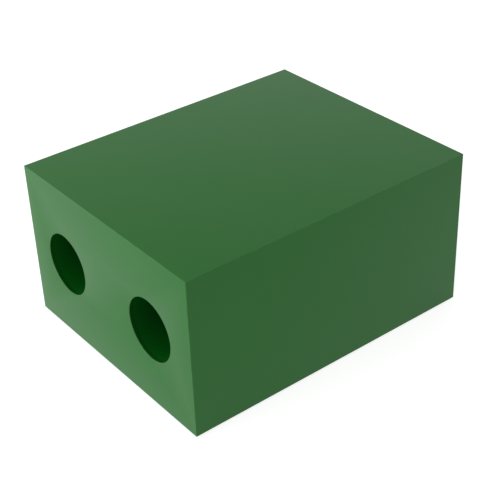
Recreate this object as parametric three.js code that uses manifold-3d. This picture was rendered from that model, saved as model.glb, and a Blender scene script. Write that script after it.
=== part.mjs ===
// A one-step riding mounting block: a hollow box of mitred green plastic sheet with two round
// tunnels running through it from end to end. Inside, two bulkheads and a centre web, halved
// together, carry the tread and hold the tunnel tubes. A screwed base panel closes the box and
// stands on four rubber feet.
//
// Millimetres, +Z up. The origin is on the ground under the middle of the block. +Y runs along
// the tunnels, from the front end (-Y) to the rear end (+Y), and +X is the right side.
import * as THREE from 'three';
import { ConvexGeometry } from 'three/addons/geometries/ConvexGeometry.js';
import { mergeVertices } from 'three/addons/utils/BufferGeometryUtils.js';
import Module from 'manifold-3d';

// Driving dimensions.
const WIDTH = 404; // across the end faces
const LENGTH = 500; // along the tunnels
const BODY_HEIGHT = 254; // from the bottom edge of the walls to the tread
const SHEET = 12; // thickness of every sheet piece
const BORE_RADIUS = 48.5; // the tunnels, which is the inside of a 110 mm pipe
const TUBE_RADIUS = 55; // outside of that pipe
const BORE_SPACING = 213; // between the two tunnel axes
const FOOT_PROUD = 3; // how far the feet stand below the walls
const GAP = 0.3; // working clearance between fitted pieces
const OVERCUT = 1; // how far a cutting tool runs past the face it opens

// The box inside the sheet.
const INNER_WIDTH = WIDTH - 2 * SHEET;
const INNER_LENGTH = LENGTH - 2 * SHEET;
const INNER_HEIGHT = BODY_HEIGHT - 2 * SHEET;
const FLOOR = FOOT_PROUD + SHEET; // upper face of the base panel
const BORE_HEIGHT = FOOT_PROUD + BODY_HEIGHT / 2; // tunnel axes above the ground

// Fitted details.
const REGISTER_DEPTH = 6; // recess in an end panel that locates a tube
const BULKHEAD_AT = INNER_LENGTH / 6; // either side of the middle, so three equal bays
const LAP_HEIGHT = FLOOR + INNER_HEIGHT / 2; // where the halved slots meet
const BLOCK = { side: 80, height: 30, screwInset: 14 }; // corner blocks
const CLEAT = 25; // square section of the cleats
const FOOT = { radius: 20, height: 10, chamfer: 1, inset: 28 };
const FOOT_POCKET = { radius: 7.5, depth: 6.2 }; // takes the washer and screw head
const WASHER = { radius: 7.2, thickness: 1.2 };
const SCREW = { radius: 2.5, length: 30, footLength: 25, tip: 5, pilot: 19 };
const SUNK_HEAD = { radius: 5, height: 2.5 };
const PAN_HEAD = { radius: 4.75, height: 2.8 };
const SOCKET = { radius: 1.9, depth: 1.8, sides: 6 };
const SCREW_HOLE = SCREW.radius + GAP;

// Facets round each kind of circle.
const BORE_SIDES = 60;
const FOOT_SIDES = 32;
const SCREW_SIDES = 16;

const SIDES = [
  { name: 'left', sign: -1 },
  { name: 'right', sign: 1 },
];
const ENDS = [
  { name: 'front', sign: -1 },
  { name: 'rear', sign: 1 },
];

const greenSheet = new THREE.MeshStandardMaterial({ color: 0x2f6637, roughness: 0.45, metalness: 0 });
const greenPipe = new THREE.MeshStandardMaterial({ color: 0x2a6233, roughness: 0.4, metalness: 0 });
const blackSheet = new THREE.MeshStandardMaterial({ color: 0x202322, roughness: 0.6, metalness: 0 });
const rubber = new THREE.MeshStandardMaterial({ color: 0x161616, roughness: 0.85, metalness: 0 });
const steel = new THREE.MeshStandardMaterial({ color: 0xb9bcbf, roughness: 0.35, metalness: 1 });

const wasm = await Module();
wasm.setup();

// A closed three.js geometry as a solid that can be cut.
function toSolid(geometry) {
  const source = geometry.index ? geometry.toNonIndexed() : geometry;
  const bare = new THREE.BufferGeometry().setAttribute('position', source.getAttribute('position'));
  const merged = mergeVertices(bare, 1e-4);
  const mesh = new wasm.Mesh({
    numProp: 3,
    vertProperties: merged.attributes.position.array,
    triVerts: new Uint32Array(merged.index.array),
  });
  return new wasm.Manifold(mesh);
}

// A solid back as a flat-shaded three.js geometry.
function toGeometry(solid) {
  const { vertProperties, triVerts } = solid.getMesh();
  const indexed = new THREE.BufferGeometry()
    .setAttribute('position', new THREE.BufferAttribute(vertProperties, 3))
    .setIndex(new THREE.BufferAttribute(triVerts, 1));
  const geometry = indexed.toNonIndexed();
  geometry.computeVertexNormals();
  return geometry;
}

// The blank with every tool taken out of it.
function cut(blank, tools) {
  return toGeometry(tools.reduce((solid, tool) => solid.subtract(toSolid(tool)), toSolid(blank)));
}

// A box between any two opposite corners, each given as [x, y, z].
function boxBetween(one, other) {
  const size = one.map((value, axis) => Math.abs(value - other[axis]));
  const middle = one.map((value, axis) => (value + other[axis]) / 2);
  return new THREE.BoxGeometry(...size).translate(...middle);
}

// A round bar standing along Z on (x, y), from z0 to z1; a second radius makes it a cone.
function barAlongZ(x, y, z0, z1, radius, sides, topRadius = radius) {
  return new THREE.CylinderGeometry(topRadius, radius, z1 - z0, sides)
    .rotateX(Math.PI / 2)
    .translate(x, y, (z0 + z1) / 2);
}

// A turned solid about Z from [radius, height] points that start and end on the axis or close on
// themselves, listed so that the section lies to their left.
function turned(profile, sides) {
  const points = profile.map(([radius, height]) => new THREE.Vector2(radius, height));
  return new THREE.LatheGeometry(points, sides).rotateX(Math.PI / 2);
}

function named(name, geometry, material) {
  const mesh = new THREE.Mesh(geometry, material);
  mesh.name = name;
  return mesh;
}

// Every place where a corner piece goes: its name, and its signs along X and Y.
function corners() {
  return ENDS.flatMap((end) =>
    SIDES.map((side) => ({ name: `${end.name}_${side.name}`, x: side.sign, y: end.sign })));
}

// Sheet cut to `outer` on its outer face (z = SHEET) and to `inner` on its inner face (z = 0).
// Each rectangle is [x0, x1, y0, y1], and an edge that differs between them is a mitre.
function mitredSheet(inner, outer) {
  const corner = ([x0, x1, y0, y1], z) =>
    [[x0, y0], [x1, y0], [x1, y1], [x0, y1]].map(([x, y]) => new THREE.Vector3(x, y, z));
  return new ConvexGeometry([...corner(inner, 0), ...corner(outer, SHEET)]);
}

// The tread: its four edges are mitred to the walls.
function topPanel() {
  const inner = [-INNER_WIDTH / 2, INNER_WIDTH / 2, -INNER_LENGTH / 2, INNER_LENGTH / 2];
  const outer = [-WIDTH / 2, WIDTH / 2, -LENGTH / 2, LENGTH / 2];
  const panel = named('top_panel', mitredSheet(inner, outer), greenSheet);
  panel.position.z = FLOOR + INNER_HEIGHT;
  return panel;
}

// A wall blank lying flat: X across it, Y up it from its square bottom edge, Z outwards.
function wallBlank(width) {
  const inner = [SHEET - width / 2, width / 2 - SHEET, 0, BODY_HEIGHT - SHEET];
  const outer = [-width / 2, width / 2, 0, BODY_HEIGHT];
  return mitredSheet(inner, outer);
}

// An end wall has both bores, and behind each one a recess that the tube's end sits in.
function endWall() {
  const tools = SIDES.flatMap(({ sign }) => {
    const x = (sign * BORE_SPACING) / 2;
    const y = BODY_HEIGHT / 2;
    return [
      barAlongZ(x, y, -OVERCUT, SHEET + OVERCUT, BORE_RADIUS, BORE_SIDES),
      barAlongZ(x, y, -OVERCUT, REGISTER_DEPTH, TUBE_RADIUS + GAP, BORE_SIDES),
    ];
  });
  return cut(wallBlank(WIDTH), tools);
}

// Stands a flat wall up on the ground level of the walls, facing out at the given turn about Z.
function standWall(name, geometry, innerDistance, turn) {
  const wall = named(name, geometry, greenSheet);
  wall.rotation.x = Math.PI / 2;
  wall.position.set(0, -innerDistance, FOOT_PROUD);
  const turntable = new THREE.Group();
  turntable.rotation.z = turn;
  turntable.add(wall);
  return turntable;
}

function walls() {
  const group = new THREE.Group();
  group.add(
    standWall('front_end_panel', endWall(), INNER_LENGTH / 2, 0),
    standWall('rear_end_panel', endWall(), INNER_LENGTH / 2, Math.PI),
    standWall('right_side_panel', wallBlank(LENGTH), INNER_WIDTH / 2, Math.PI / 2),
    standWall('left_side_panel', wallBlank(LENGTH), INNER_WIDTH / 2, -Math.PI / 2),
  );
  return group;
}

// A tunnel tube is a length of pipe between the registers of the two end panels.
function tunnelTubes() {
  const group = new THREE.Group();
  const half = INNER_LENGTH / 2 + REGISTER_DEPTH - GAP;
  const profile = [
    [BORE_RADIUS, -half],
    [TUBE_RADIUS, -half],
    [TUBE_RADIUS, half],
    [BORE_RADIUS, half],
    [BORE_RADIUS, -half],
  ];
  for (const { name, sign } of SIDES) {
    const tube = named(`tunnel_tube_${name}`, turned(profile, BORE_SIDES), greenPipe);
    tube.rotation.x = Math.PI / 2;
    tube.position.set((sign * BORE_SPACING) / 2, 0, BORE_HEIGHT);
    group.add(tube);
  }
  return group;
}

// A bulkhead is holed for both tubes, slotted from its top for the web, and notched at its lower
// corners to straddle the side cleats.
function bulkheads() {
  const half = INNER_WIDTH / 2;
  const reach = SHEET / 2 + OVERCUT;
  const slotHalf = SHEET / 2 + GAP;
  const ceiling = FLOOR + INNER_HEIGHT;
  const blank = boxBetween([GAP - half, -SHEET / 2, FLOOR], [half - GAP, SHEET / 2, ceiling]);
  const slot = boxBetween([-slotHalf, -reach, LAP_HEIGHT], [slotHalf, reach, ceiling + OVERCUT]);
  const holes = SIDES.map(({ sign }) =>
    barAlongZ(0, 0, -reach, reach, TUBE_RADIUS + GAP, BORE_SIDES)
      .rotateX(Math.PI / 2)
      .translate((sign * BORE_SPACING) / 2, 0, BORE_HEIGHT));
  const notches = SIDES.map(({ sign }) =>
    boxBetween(
      [sign * (half + OVERCUT), -reach, FLOOR - OVERCUT],
      [sign * (half - CLEAT - GAP), reach, FLOOR + CLEAT + GAP],
    ));
  const shape = cut(blank, [slot, ...holes, ...notches]);
  const group = new THREE.Group();
  for (const { name, sign } of ENDS) {
    const plate = named(`${name}_bulkhead`, shape, blackSheet);
    plate.position.y = sign * BULKHEAD_AT;
    group.add(plate);
  }
  return group;
}

// The web stands between the tubes. It is slotted from below over both bulkheads and notched at
// its lower ends over the end cleats.
function centreWeb() {
  const half = INNER_LENGTH / 2;
  const reach = SHEET / 2 + OVERCUT;
  const slotHalf = SHEET / 2 + GAP;
  const ceiling = FLOOR + INNER_HEIGHT;
  const blank = boxBetween([-SHEET / 2, GAP - half, FLOOR], [SHEET / 2, half - GAP, ceiling]);
  const slots = ENDS.map(({ sign }) =>
    boxBetween(
      [-reach, sign * BULKHEAD_AT - slotHalf, FLOOR - OVERCUT],
      [reach, sign * BULKHEAD_AT + slotHalf, LAP_HEIGHT + GAP],
    ));
  const notches = ENDS.map(({ sign }) =>
    boxBetween(
      [-reach, sign * (half + OVERCUT), FLOOR - OVERCUT],
      [reach, sign * (half - CLEAT - GAP), FLOOR + CLEAT + GAP],
    ));
  return named('centre_web', cut(blank, [...slots, ...notches]), blackSheet);
}

// A place on the base at one corner, the same distance in from both walls.
function inFromWalls({ x, y }, distance) {
  return [x * (INNER_WIDTH / 2 - distance), y * (INNER_LENGTH / 2 - distance)];
}

const footAt = (corner) => inFromWalls(corner, FOOT.inset);
const cornerScrewAt = (corner) => inFromWalls(corner, BLOCK.side - BLOCK.screwInset);

// The eight base screws: one into each corner block and one into the middle of each cleat.
function baseScrewPlaces() {
  const across = INNER_WIDTH / 2 - CLEAT / 2;
  const along = INNER_LENGTH / 2 - CLEAT / 2;
  return [...corners().map(cornerScrewAt), [-across, 0], [across, 0], [0, -along], [0, along]];
}

// The blind hole that a screw runs up into, above the base panel.
function pilotHole([x, y]) {
  return barAlongZ(x, y, FLOOR - OVERCUT, FLOOR + SCREW.pilot, SCREW_HOLE, SCREW_SIDES);
}

// Corner blocks carry the walls on the base panel and take a foot screw and a base screw each.
function cornerBlocks() {
  const group = new THREE.Group();
  for (const corner of corners()) {
    const blank = boxBetween(
      [...inFromWalls(corner, 0), FLOOR],
      [...inFromWalls(corner, BLOCK.side), FLOOR + BLOCK.height],
    );
    const shape = cut(blank, [pilotHole(footAt(corner)), pilotHole(cornerScrewAt(corner))]);
    group.add(named(`corner_block_${corner.name}`, shape, blackSheet));
  }
  return group;
}

// Cleats run along the walls between the corner blocks, and the base panel screws up into them.
function cleats() {
  const group = new THREE.Group();
  const across = INNER_WIDTH / 2;
  const along = INNER_LENGTH / 2;
  const sideHalf = along - BLOCK.side - GAP;
  const endHalf = across - BLOCK.side - GAP;
  const top = FLOOR + CLEAT;
  for (const { name, sign } of SIDES) {
    const blank = boxBetween([sign * across, -sideHalf, FLOOR], [sign * (across - CLEAT), sideHalf, top]);
    const shape = cut(blank, [pilotHole([sign * (across - CLEAT / 2), 0])]);
    group.add(named(`side_cleat_${name}`, shape, blackSheet));
  }
  for (const { name, sign } of ENDS) {
    const blank = boxBetween([-endHalf, sign * along, FLOOR], [endHalf, sign * (along - CLEAT), top]);
    const shape = cut(blank, [pilotHole([0, sign * (along - CLEAT / 2)])]);
    group.add(named(`end_cleat_${name}`, shape, blackSheet));
  }
  return group;
}

// The base panel drops in between the walls. It has a recess and a screw hole for each foot, and a
// countersunk hole for each base screw.
function basePanel() {
  const across = INNER_WIDTH / 2 - GAP;
  const along = INNER_LENGTH / 2 - GAP;
  const below = FOOT_PROUD - OVERCUT;
  const above = FLOOR + OVERCUT;
  const sinkTop = FOOT_PROUD + SUNK_HEAD.height;
  const blank = boxBetween([-across, -along, FOOT_PROUD], [across, along, FLOOR]);
  const footTools = corners().map(footAt).flatMap(([x, y]) => [
    barAlongZ(x, y, below, FOOT.height, FOOT.radius + GAP, FOOT_SIDES),
    barAlongZ(x, y, below, above, SCREW_HOLE, SCREW_SIDES),
  ]);
  const screwTools = baseScrewPlaces().flatMap(([x, y]) => [
    barAlongZ(x, y, FOOT_PROUD - GAP, sinkTop, SUNK_HEAD.radius + 2 * GAP, SCREW_SIDES, SCREW_HOLE),
    barAlongZ(x, y, below, above, SCREW_HOLE, SCREW_SIDES),
  ]);
  return named('base_panel', cut(blank, [...footTools, ...screwTools]), greenSheet);
}

// A turned screw pointing up from z = 0, with a six-sided socket in its head.
function screwShape(profile) {
  const socket = barAlongZ(0, 0, -OVERCUT, SOCKET.depth, SOCKET.radius, SOCKET.sides);
  return cut(turned(profile, SCREW_SIDES), [socket]);
}

function baseScrews() {
  const shape = screwShape([
    [0, 0],
    [SUNK_HEAD.radius, 0],
    [SCREW.radius, SUNK_HEAD.height],
    [SCREW.radius, SCREW.length - SCREW.tip],
    [0, SCREW.length],
  ]);
  const group = new THREE.Group();
  baseScrewPlaces().forEach(([x, y], index) => {
    const screw = named(`base_screw_${index + 1}`, shape, steel);
    screw.position.set(x, y, FOOT_PROUD);
    group.add(screw);
  });
  return group;
}

// A rubber foot, its washer and its pan-head screw, at every corner.
function feet() {
  const { radius, height, chamfer } = FOOT;
  const footShape = turned([
    [FOOT_POCKET.radius, 0],
    [radius - chamfer, 0],
    [radius, chamfer],
    [radius, height],
    [SCREW_HOLE, height],
    [SCREW_HOLE, FOOT_POCKET.depth],
    [FOOT_POCKET.radius, FOOT_POCKET.depth],
    [FOOT_POCKET.radius, 0],
  ], FOOT_SIDES);
  const washerLow = FOOT_POCKET.depth - WASHER.thickness;
  const washerShape = turned([
    [SCREW_HOLE, washerLow],
    [WASHER.radius, washerLow],
    [WASHER.radius, FOOT_POCKET.depth],
    [SCREW_HOLE, FOOT_POCKET.depth],
    [SCREW_HOLE, washerLow],
  ], FOOT_SIDES);
  const screw = screwShape([
    [0, 0],
    [PAN_HEAD.radius - chamfer, 0],
    [PAN_HEAD.radius, chamfer],
    [PAN_HEAD.radius, PAN_HEAD.height],
    [SCREW.radius, PAN_HEAD.height],
    [SCREW.radius, PAN_HEAD.height + SCREW.footLength - SCREW.tip],
    [0, PAN_HEAD.height + SCREW.footLength],
  ]);
  const group = new THREE.Group();
  for (const corner of corners()) {
    const [x, y] = footAt(corner);
    const foot = new THREE.Group();
    foot.position.set(x, y, 0);
    const fixing = named(`foot_screw_${corner.name}`, screw, steel);
    fixing.position.z = washerLow - PAN_HEAD.height;
    foot.add(
      named(`foot_${corner.name}`, footShape, rubber),
      named(`foot_washer_${corner.name}`, washerShape, steel),
      fixing,
    );
    group.add(foot);
  }
  return group;
}

const mountingBlock = new THREE.Group();
mountingBlock.add(
  topPanel(),
  walls(),
  tunnelTubes(),
  bulkheads(),
  centreWeb(),
  cornerBlocks(),
  cleats(),
  basePanel(),
  baseScrews(),
  feet(),
);

export default mountingBlock;
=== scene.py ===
"""The looks of a one-step mounting block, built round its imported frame.

The block is a hollow box of green plastic sheet, mitred along every edge, with two tunnels lined
with plastic pipe running through it. Metres, +Z up, the origin on the ground under its middle, and
the tunnels along Y. New pieces are surfaces worked out with numpy, and each stands for a CAD node.
"""

import logging
import math
from collections.abc import Iterable, Sequence
from dataclasses import dataclass
from enum import Enum

import bmesh
import bpy
import numpy as np
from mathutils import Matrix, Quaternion, Vector
from mathutils.geometry import delaunay_2d_cdt


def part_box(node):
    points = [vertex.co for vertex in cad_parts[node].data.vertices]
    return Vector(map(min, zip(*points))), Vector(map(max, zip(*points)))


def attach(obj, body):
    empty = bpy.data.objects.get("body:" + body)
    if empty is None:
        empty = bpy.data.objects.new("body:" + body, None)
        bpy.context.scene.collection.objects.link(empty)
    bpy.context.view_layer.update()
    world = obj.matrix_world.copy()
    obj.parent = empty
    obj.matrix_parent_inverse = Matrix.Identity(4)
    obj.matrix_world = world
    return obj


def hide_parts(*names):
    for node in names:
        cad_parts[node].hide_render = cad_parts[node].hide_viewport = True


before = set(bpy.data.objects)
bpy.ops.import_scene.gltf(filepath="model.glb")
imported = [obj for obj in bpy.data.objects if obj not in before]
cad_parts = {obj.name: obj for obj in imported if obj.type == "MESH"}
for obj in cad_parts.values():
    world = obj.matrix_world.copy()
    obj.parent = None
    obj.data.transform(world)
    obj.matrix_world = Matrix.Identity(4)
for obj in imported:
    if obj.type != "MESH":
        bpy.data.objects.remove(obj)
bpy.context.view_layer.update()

BODY = "root"
MM = 0.001
LOG = logging.getLogger("mounting_block")

Array = np.ndarray
Colour = tuple[float, float, float]
Value = float | Sequence[float] | bpy.types.NodeSocket

CORNERS = ("front_left", "front_right", "rear_left", "rear_right")
BASE_SCREWS = tuple(f"base_screw_{number}" for number in range(1, 9))
# Every screw's thread has this radius. Points nearer to each other than SAME_PLACE count as one.
SCREW_RADIUS = 2.5 * MM
SAME_PLACE = 1e-9


@dataclass(frozen=True)
class BlockSizes:
    """The block's driving sizes, in metres."""

    width: float
    length: float
    wall_foot: float
    top: float
    sheet: float
    bore_offset: float
    bore_height: float
    pipe_radius: float
    bore_radius: float = 48.5 * MM
    mouth: float = 0.6 * MM
    register: float = 6.0 * MM
    clearance: float = 0.3 * MM

    @classmethod
    def from_frame(cls) -> "BlockSizes":
        """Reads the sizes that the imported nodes' boxes give.

        Returns:
            The sizes.
        """
        tread_low, tread_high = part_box("top_panel")
        wall_low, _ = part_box("right_side_panel")
        pipe_low, pipe_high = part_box("tunnel_tube_right")
        return cls(
            width=tread_high.x - tread_low.x,
            length=tread_high.y - tread_low.y,
            wall_foot=wall_low.z,
            top=tread_high.z,
            sheet=tread_high.z - tread_low.z,
            bore_offset=(pipe_low.x + pipe_high.x) / 2,
            bore_height=(pipe_low.z + pipe_high.z) / 2,
            pipe_radius=(pipe_high.x - pipe_low.x) / 2,
        )


# ---------------------------------------------------------------------------------------------
# Surfaces
# ---------------------------------------------------------------------------------------------


class Axis(Enum):
    """The way that a turned piece's axis runs."""

    ALONG_Y = "y"
    UP_Z = "z"


def ring_angles(segments: int) -> Array:
    """Gives evenly spaced angles once round a circle, in radians."""
    return np.arange(segments) * (2 * math.pi / segments)


def turned_grid(radii: Array, heights: Array, middle: Sequence[float], axis: Axis,
                segments: int) -> Array:
    """Carries a profile round an axis.

    A point is the middle, plus its height along the axis, plus its radius times the cosine and
    sine of the angle in the two directions across the axis.

    Args:
        radii: One radius for each row, or one for each row and angle.
        heights: One height for each row.
        middle: Where the axis is at height nought.
        axis: Which way the axis runs.
        segments: How many steps go once round.

    Returns:
        Points as rows by segments by 3.
    """
    angles = ring_angles(segments)
    radii = np.broadcast_to(radii.reshape(len(heights), -1), (len(heights), segments))
    across = radii * np.cos(angles)
    aside = radii * np.sin(angles)
    along = np.broadcast_to(heights[:, None], radii.shape)
    order = (across, along, aside) if axis is Axis.ALONG_Y else (across, aside, along)
    return np.stack(order, axis=-1) + np.asarray(middle)


def rounded_profile(corners: Sequence[tuple[float, float, float]], closed: bool = False,
                    steps: int = 5) -> Array:
    """Draws a profile through corners, with a circular arc at each rounded one.

    The arc touches both sides at the rounding radius over the tangent of half the angle between
    them, and its points turn evenly from one touching point to the other about its centre.

    Args:
        corners: Each corner's radius, height and rounding.
        closed: Whether the last corner joins the first.
        steps: How many steps each arc has.

    Returns:
        Points as rows of radius and height; a closed profile ends where it starts.
    """
    places = np.array([corner[:2] for corner in corners])
    runs = []
    for index, (_, _, rounding) in enumerate(corners):
        here = places[index]
        if rounding == 0:
            runs.append(here[None])
            continue
        back = places[index - 1] - here
        on = places[(index + 1) % len(places)] - here
        back, on = back / np.linalg.norm(back), on / np.linalg.norm(on)
        half = math.acos(float(np.clip(back @ on, -1, 1))) / 2
        middle = here + (back + on) / np.linalg.norm(back + on) * rounding / math.sin(half)
        start, end = (here + way * rounding / math.tan(half) - middle for way in (back, on))
        sweep = math.pi - 2 * half
        share = np.linspace(0, 1, steps + 1)[:, None]
        arc = np.sin((1 - share) * sweep) * start + np.sin(share * sweep) * end
        runs.append(middle + arc / math.sin(sweep))
    points = np.concatenate(runs)
    return np.concatenate([points, points[:1]]) if closed else points


def pierced_flat(outline: Array, rings: Sequence[Array], level: float) -> tuple[Array, Array]:
    """Fills a convex outline that has holes in it with flat faces, all at one level.

    Args:
        outline: The outline's corners in order, one row each; only the first two columns count.
        rings: Each hole's points in order, likewise.
        level: The third coordinate of all the points.

    Returns:
        All the points in the order given, and triangles as rows of three indices.
    """
    loops = [loop[:, :2] for loop in (outline, *rings)]
    starts = np.cumsum([0, *(len(loop) for loop in loops)])
    points = np.concatenate(loops)
    owner = np.repeat(np.arange(len(loops)), [len(loop) for loop in loops])
    following = np.concatenate(
        [start + np.roll(np.arange(len(loop)), -1) for start, loop in zip(starts, loops)])
    edges = np.column_stack([np.arange(len(points)), following]).tolist()
    made = delaunay_2d_cdt([Vector(point) for point in points], edges, [], 0, SAME_PLACE)
    source = np.array([origins[0] for origins in made[3]])
    triangles = source[np.array(made[2])]
    owners = owner[triangles]
    in_a_hole = (owners[:, 0] > 0) & (owners == owners[:, :1]).all(axis=1)
    return np.column_stack([points, np.full(len(points), level)]), triangles[~in_a_hole]


class Shell:
    """A closed surface gathered from patches, whose meeting points are merged at the end."""

    MERGE = 1e-7
    CREASE = math.radians(32)

    def __init__(self) -> None:
        """Starts with no patches."""
        self.points: list[Array] = []
        self.faces: list[Array] = []
        self.smooth: list[Array] = []
        self.count = 0

    def add(self, points: Array, faces: Array, smooth: bool | Array) -> None:
        """Adds points and the faces between them.

        Args:
            points: Places, one row each.
            faces: Indices into points, three or four to a row.
            smooth: Whether the faces are shaded smooth, for all of them or one by one.
        """
        four = faces if faces.shape[1] == 4 else np.column_stack([faces, faces[:, 2]])
        self.points.append(points)
        self.faces.append(four + self.count)
        self.smooth.append(np.broadcast_to(smooth, len(faces)))
        self.count += len(points)

    def grid(self, points: Array, smooth: bool | Array = True, wrap: bool = False,
             keep: Array | None = None) -> None:
        """Adds a surface given as a grid of points, each joined to the next by row and column.

        Args:
            points: Places as rows by columns by 3.
            smooth: Whether its faces are shaded smooth, for all of them or cell by cell.
            wrap: Whether the last column joins the first.
            keep: Which cells to make, by row and column, or None for all of them.
        """
        rows, columns = points.shape[:2]
        index = np.arange(rows * columns).reshape(rows, columns)
        if wrap:
            index = np.column_stack([index, index[:, 0]])
        faces = np.stack([index[:-1, :-1], index[:-1, 1:], index[1:, 1:], index[1:, :-1]], -1)
        shading = np.broadcast_to(smooth, faces.shape[:2])
        keep = np.ones(shading.shape, bool) if keep is None else keep
        self.add(points.reshape(-1, 3), faces[keep], shading[keep])

    def build(self, name: str) -> bpy.types.Object:
        """Merges the patches into one mesh object whose faces point out.

        Args:
            name: The name of the new object.

        Returns:
            The object, linked to the scene.
        """
        points = np.concatenate(self.points)
        cells = np.round(points / self.MERGE).astype(np.int64)
        _, first, merged = np.unique(cells, axis=0, return_index=True, return_inverse=True)
        faces = merged.reshape(-1)[np.concatenate(self.faces)]
        fresh = faces != np.roll(faces, 1, axis=1)
        kept = fresh.sum(axis=1) >= 3
        mesh = bpy.data.meshes.new(name)
        loops = [face[new].tolist() for face, new in zip(faces[kept], fresh[kept])]
        mesh.from_pydata(points[first], [], loops)
        mesh.polygons.foreach_set("use_smooth", np.concatenate(self.smooth)[kept])
        self._point_out(mesh)
        mesh.set_sharp_from_angle(angle=self.CREASE)
        piece = bpy.data.objects.new(name, mesh)
        bpy.context.scene.collection.objects.link(piece)
        return piece

    def _point_out(self, mesh: bpy.types.Mesh) -> None:
        """Turns every face outwards, and stops the script if the mesh isn't closed.

        Args:
            mesh: The mesh, which is changed in place.
        """
        work = bmesh.new()
        work.from_mesh(mesh)
        bmesh.ops.recalc_face_normals(work, faces=work.faces)
        if work.calc_volume(signed=True) < 0:
            bmesh.ops.reverse_faces(work, faces=work.faces)
        open_edges = sum(not edge.is_manifold for edge in work.edges)
        if open_edges:
            raise ValueError(f"{mesh.name} has {open_edges} open edges")
        work.to_mesh(mesh)
        work.free()


def wrapped_piece(name: str, grid: Array) -> bpy.types.Object:
    """Makes a piece whose whole surface is one grid, wrapped round.

    Args:
        name: The name of the new object.
        grid: Places as rows by columns by 3, as turned_grid gives them.

    Returns:
        The object.
    """
    shell = Shell()
    shell.grid(grid, wrap=True)
    return shell.build(name)


@dataclass(frozen=True)
class EdgeRows:
    """The rows of a rounded face in one direction: where each arc's centre is, and its turn.

    The rows are an arc at the low edge, the flat between, and an arc at the high edge.
    """

    centres: Array
    turns: Array

    @classmethod
    def between(cls, low: float, high: float, radius: float, low_turn: float,
                high_turn: float, steps: int) -> "EdgeRows":
        """Lays out the rows between two edges.

        Args:
            low: Where the low edge is.
            high: Where the high edge is.
            radius: The edges' rounding.
            low_turn: How far the surface turns at the low edge, in radians.
            high_turn: How far it turns at the high edge, in radians.
            steps: How many steps each arc has.

        Returns:
            The rows.
        """
        centres = np.repeat([low + radius, high - radius], steps + 1)
        turns = np.concatenate(
            [np.linspace(-low_turn, 0, steps + 1), np.linspace(0, high_turn, steps + 1)])
        return cls(centres, turns)


def rounded_face(across: EdgeRows, up: EdgeRows, level: float, radius: float) -> Array:
    """Makes a flat face with rounded edges, as a grid in its own directions across, up and out.

    A point is its arcs' centre plus the radius along the surface's direction there. With the turns
    a across and b up, that direction is (sin a cos b, cos a sin b, cos a cos b) at unit length, so
    two faces that meet at a 45 degree mitre share the same edge.

    Args:
        across: The rows from left to right.
        up: The rows from bottom to top.
        level: How far out the flat lies.
        radius: The edges' rounding.

    Returns:
        Points as rows up by rows across by 3.
    """
    a, b = np.meshgrid(across.turns, up.turns)
    ways = np.stack([np.sin(a) * np.cos(b), np.cos(a) * np.sin(b), np.cos(a) * np.cos(b)], -1)
    ways /= np.linalg.norm(ways, axis=-1, keepdims=True)
    u, v = np.meshgrid(across.centres, up.centres)
    centres = np.stack([u, v, np.full_like(u, level - radius)], -1)
    return centres + radius * ways


def split_face(face: Array, steps: int) -> tuple[Array, Array]:
    """Tells the flat cell in the middle of a rounded face from the curved ones round it.

    Args:
        face: The face, as rounded_face gives it.
        steps: How many steps each of its arcs has.

    Returns:
        Which of its cells are curved, by row and column, and the flat cell's four corners.
    """
    end = steps + 1
    curved = np.ones((2 * steps + 1, 2 * steps + 1), bool)
    curved[steps, steps] = False
    return curved, face[[steps, steps, end, end], [steps, end, end, steps]]


# ---------------------------------------------------------------------------------------------
# Node trees
# ---------------------------------------------------------------------------------------------


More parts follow.
